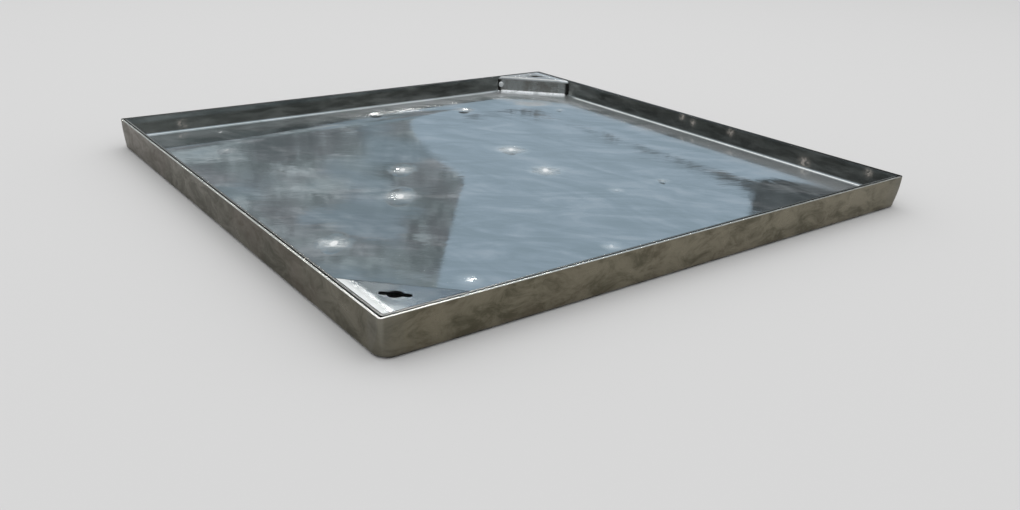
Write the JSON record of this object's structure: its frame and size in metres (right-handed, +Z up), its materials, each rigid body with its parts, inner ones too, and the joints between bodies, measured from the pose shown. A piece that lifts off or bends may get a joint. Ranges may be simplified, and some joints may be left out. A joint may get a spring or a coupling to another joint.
{
  "type": "recessed paving cover",
  "caption": "Square recessed paving cover: shallow folded steel tray in a mitred angle frame, with boxed lifting corners and keyhole plates on one diagonal.",
  "frame": {"origin": "centre of the frame's underside, at the level of the flange that rests on its bed", "axes": "+Z up towards the paving side, +X to the right rail and +Y to the back rail; the lifting corners are at -X -Y and +X +Y"},
  "size_m": [0.65, 0.65, 0.035],
  "materials": {
    "frame_steel": "bare stainless, dulled and handled",
    "tray_steel": "bare stainless, smooth and reflective",
    "plate_steel": "bare stainless, smooth",
    "weld_metal": "ground weld bead",
    "stiffener_steel": "bare stainless",
    "seal_rubber": "matt"
  },
  "bodies": {
    "root": {"frame_rail_front": "frame_steel", "frame_rail_right": "frame_steel", "frame_rail_back": "frame_steel", "frame_rail_left": "frame_steel", "seal_strip_front": "seal_rubber", "seal_strip_right": "seal_rubber", "seal_strip_back": "seal_rubber", "seal_strip_left": "seal_rubber", "tray_pan": "tray_steel", "key_plate_near": "plate_steel", "key_plate_far": "plate_steel", "foot_weld_near": "weld_metal", "foot_weld_far": "weld_metal", "stiffener_1": "stiffener_steel", "stiffener_2": "stiffener_steel", "stiffener_3": "stiffener_steel", "stiffener_4": "stiffener_steel", "stiffener_5": "stiffener_steel", "stiffener_6": "stiffener_steel"}
  },
  "joints": []
}
